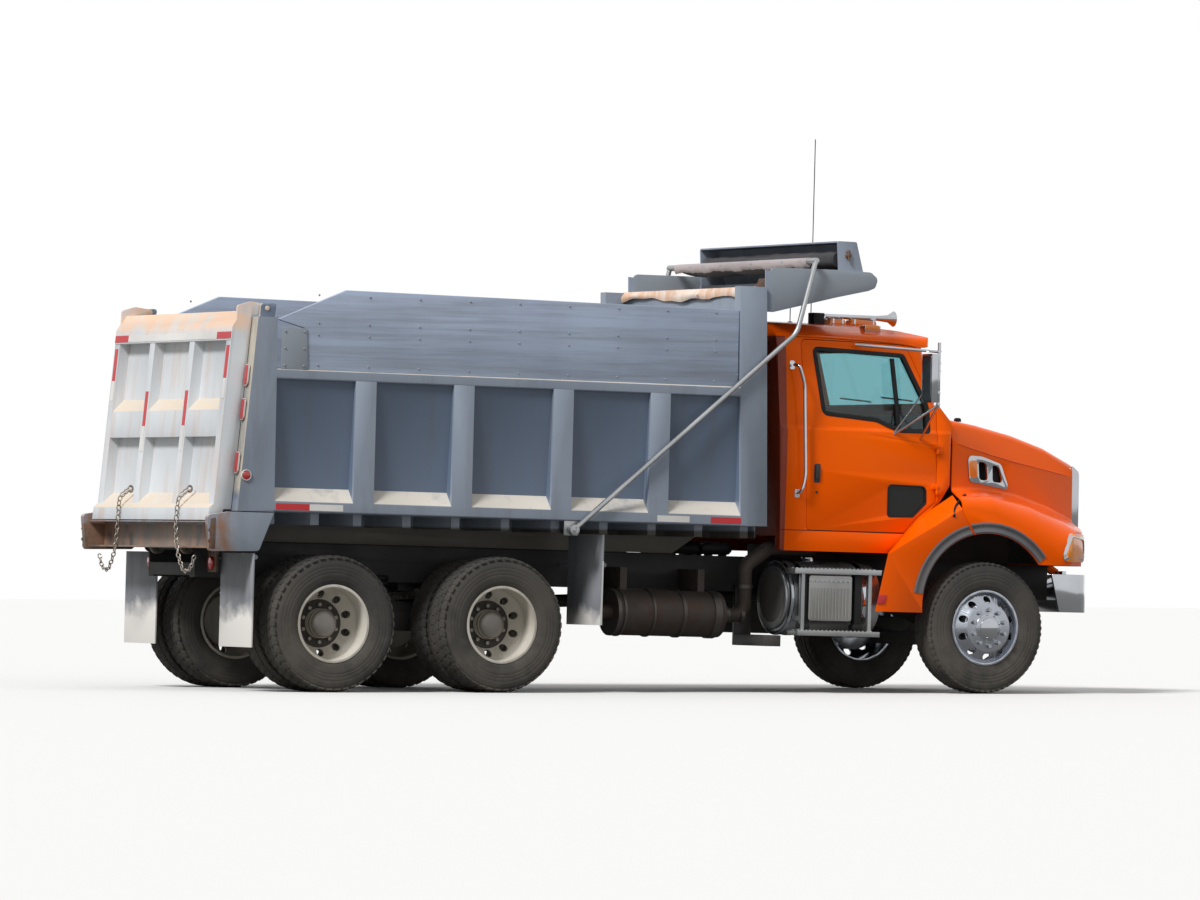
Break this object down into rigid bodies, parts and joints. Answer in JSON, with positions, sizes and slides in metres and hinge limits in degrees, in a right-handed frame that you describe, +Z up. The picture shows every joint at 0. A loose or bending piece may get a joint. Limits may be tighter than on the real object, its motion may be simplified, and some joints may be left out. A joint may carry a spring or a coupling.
{
  "type": "dump truck",
  "caption": "Three-axle conventional dump truck with a steel tipping bed, top-hinged tailgate, side boards, cab guard and a roll tarp on arms.",
  "frame": {"origin": "on the ground, under the middle of the whole outline", "axes": "+X forward, +Y to the driver's left, +Z up"},
  "size_m": [7.9653, 2.64, 4.4028],
  "materials": {
    "frame_black": "semi-gloss black frame paint, dusty",
    "engine_grey": "dull cast surface",
    "exhaust_rust": "heat-browned steel",
    "tank_alloy": "brushed alloy, dulled",
    "box_black": "matt black",
    "chrome": "bright plating",
    "flap_rubber": "dusty rubber sheet",
    "cab_orange": "glossy orange enamel",
    "window_glass": "tinted",
    "cab_trim": "dark cab trim",
    "seat_cloth": "woven seat cloth",
    "lamp_lens": "amber lens",
    "red_lens": "red lens",
    "bed_grey": "grey enamel, rusty along its edges",
    "board_wood": "weathered planks",
    "tarp_cloth": "black mesh cloth",
    "arm_alloy": "plain tube",
    "hoist_steel": "oily steel",
    "tyre_black": "road-worn rubber",
    "wheel_white": "white enamel, dusty",
    "wheel_alloy": "polished"
  },
  "bodies": {
    "chassis": {"frame_rails": "frame_black", "crossmembers": "frame_black", "front_axle": "frame_black", "drive_axles": "frame_black", "engine": "engine_grey", "exhaust": "exhaust_rust", "fuel_tank": "tank_alloy", "battery_box": "box_black", "bumper": "chrome", "mud_flaps": "flap_rubber", "cab_floor": "cab_orange", "cab_back": "cab_orange", "cab_roof": "cab_orange", "cab_side_left": "cab_orange", "cab_side_right": "cab_orange", "cab_front": "cab_orange", "cab_glass": "window_glass", "seats": "seat_cloth", "dashboard": "cab_trim", "roof_fittings": "chrome", "antennas": "cab_trim", "quarter_fenders": "cab_orange"},
    "hood": {"hood": "cab_orange", "vents": "chrome", "grille": "chrome", "headlamps": "lamp_lens"},
    "bed": {"bed_floor": "bed_grey", "bed_side_left": "bed_grey", "bed_side_right": "bed_grey", "bed_front": "bed_grey", "side_boards": "board_wood", "cab_guard": "bed_grey", "tarp_roll": "tarp_cloth", "bed_lamps": "red_lens", "arm_pins": "arm_alloy"},
    "tarp_arms": {"tarp_arms": "arm_alloy"},
    "tailgate": {"tailgate": "bed_grey"},
    "hoist_barrel": {"hoist_barrel": "hoist_steel"},
    "hoist_rod": {"hoist_rod": "hoist_steel"},
    "door_left": {"door_left": "cab_orange", "door_glass_left": "window_glass", "mirror_left": "chrome"},
    "steering_left": {"knuckle_left": "frame_black"},
    "front_wheel_left": {"tyre_front_left": "tyre_black", "wheel_front_left": "wheel_alloy"},
    "wheels_rear_1_left": {"tyres_rear_1_left": "tyre_black", "wheels_rear_1_left": "wheel_white"},
    "wheels_rear_2_left": {"tyres_rear_2_left": "tyre_black", "wheels_rear_2_left": "wheel_white"},
    "door_right": {"door_right": "cab_orange", "door_glass_right": "window_glass", "mirror_right": "chrome"},
    "steering_right": {"knuckle_right": "frame_black"},
    "front_wheel_right": {"tyre_front_right": "tyre_black", "wheel_front_right": "wheel_alloy"},
    "wheels_rear_1_right": {"tyres_rear_1_right": "tyre_black", "wheels_rear_1_right": "wheel_white"},
    "wheels_rear_2_right": {"tyres_rear_2_right": "tyre_black", "wheels_rear_2_right": "wheel_white"}
  },
  "joints": [
    {"name": "door_left", "type": "hinge", "parent": "chassis", "child": "door_left", "pos_m": [2.4023, 1.003, 1.7656], "axis": [-0.0164, 0, -0.9999], "range_deg": [0, 70]},
    {"name": "steer_left", "type": "hinge", "parent": "chassis", "child": "steering_left", "pos_m": [2.7795, 0.83, 0.52], "axis": [0, 0, 1], "range_deg": [-32, 32]},
    {"name": "front_wheel_left", "type": "hinge", "parent": "steering_left", "child": "front_wheel_left", "pos_m": [2.7795, 1.015, 0.52], "axis": [0, 1, 0], "continuous": true},
    {"name": "wheels_rear_1_left", "type": "hinge", "parent": "chassis", "child": "wheels_rear_1_left", "pos_m": [-1.4925, 0.895, 0.52], "axis": [0, 1, 0], "continuous": true},
    {"name": "wheels_rear_2_left", "type": "hinge", "parent": "chassis", "child": "wheels_rear_2_left", "pos_m": [-2.9145, 0.895, 0.52], "axis": [0, 1, 0], "continuous": true},
    {"name": "door_right", "type": "hinge", "parent": "chassis", "child": "door_right", "pos_m": [2.4023, -1.003, 1.7656], "axis": [0.0164, 0, 0.9999], "range_deg": [0, 70]},
    {"name": "steer_right", "type": "hinge", "parent": "chassis", "child": "steering_right", "pos_m": [2.7795, -0.83, 0.52], "axis": [0, 0, 1], "range_deg": [-32, 32]},
    {"name": "front_wheel_right", "type": "hinge", "parent": "steering_right", "child": "front_wheel_right", "pos_m": [2.7795, -1.015, 0.52], "axis": [0, 1, 0], "continuous": true},
    {"name": "wheels_rear_1_right", "type": "hinge", "parent": "chassis", "child": "wheels_rear_1_right", "pos_m": [-1.4925, -0.895, 0.52], "axis": [0, 1, 0], "continuous": true},
    {"name": "wheels_rear_2_right", "type": "hinge", "parent": "chassis", "child": "wheels_rear_2_right", "pos_m": [-2.9145, -0.895, 0.52], "axis": [0, 1, 0], "continuous": true},
    {"name": "hood", "type": "hinge", "parent": "chassis", "child": "hood", "pos_m": [3.9062, 0, 0.9548], "axis": [0, 1, 0], "range_deg": [0, 55]},
    {"name": "bed", "type": "hinge", "parent": "chassis", "child": "bed", "pos_m": [-3.7345, 0, 1.0931], "axis": [0, -1, 0], "range_deg": [0, 50]},
    {"name": "tailgate", "type": "hinge", "parent": "bed", "child": "tailgate", "pos_m": [-3.4759, 0, 2.8991], "axis": [0, 1, 0], "range_deg": [0, 70]},
    {"name": "tarp_arms", "type": "hinge", "parent": "bed", "child": "tarp_arms", "pos_m": [-0.9165, 0, 1.2519], "axis": [0, -1, 0], "range_deg": [0, 100]},
    {"name": "hoist_swing", "type": "hinge", "parent": "chassis", "child": "hoist_barrel", "pos_m": [-1.9066, 0, 0.8261], "axis": [0, -1, 0], "range_deg": [0, 70.74]},
    {"name": "hoist_rod", "type": "slide", "parent": "hoist_barrel", "child": "hoist_rod", "axis": [0.9842, 0, 0.177], "range_m": [0, 1.2821]}
  ],
  "couplings": [
    {"joint": "steer_right", "follows": "steer_left", "ratio": 1},
    {"joint": "hoist_swing", "follows": "bed", "ratio": 1.4148},
    {"joint": "hoist_rod", "follows": "bed", "m_per_rad": 1.4692}
  ]
}
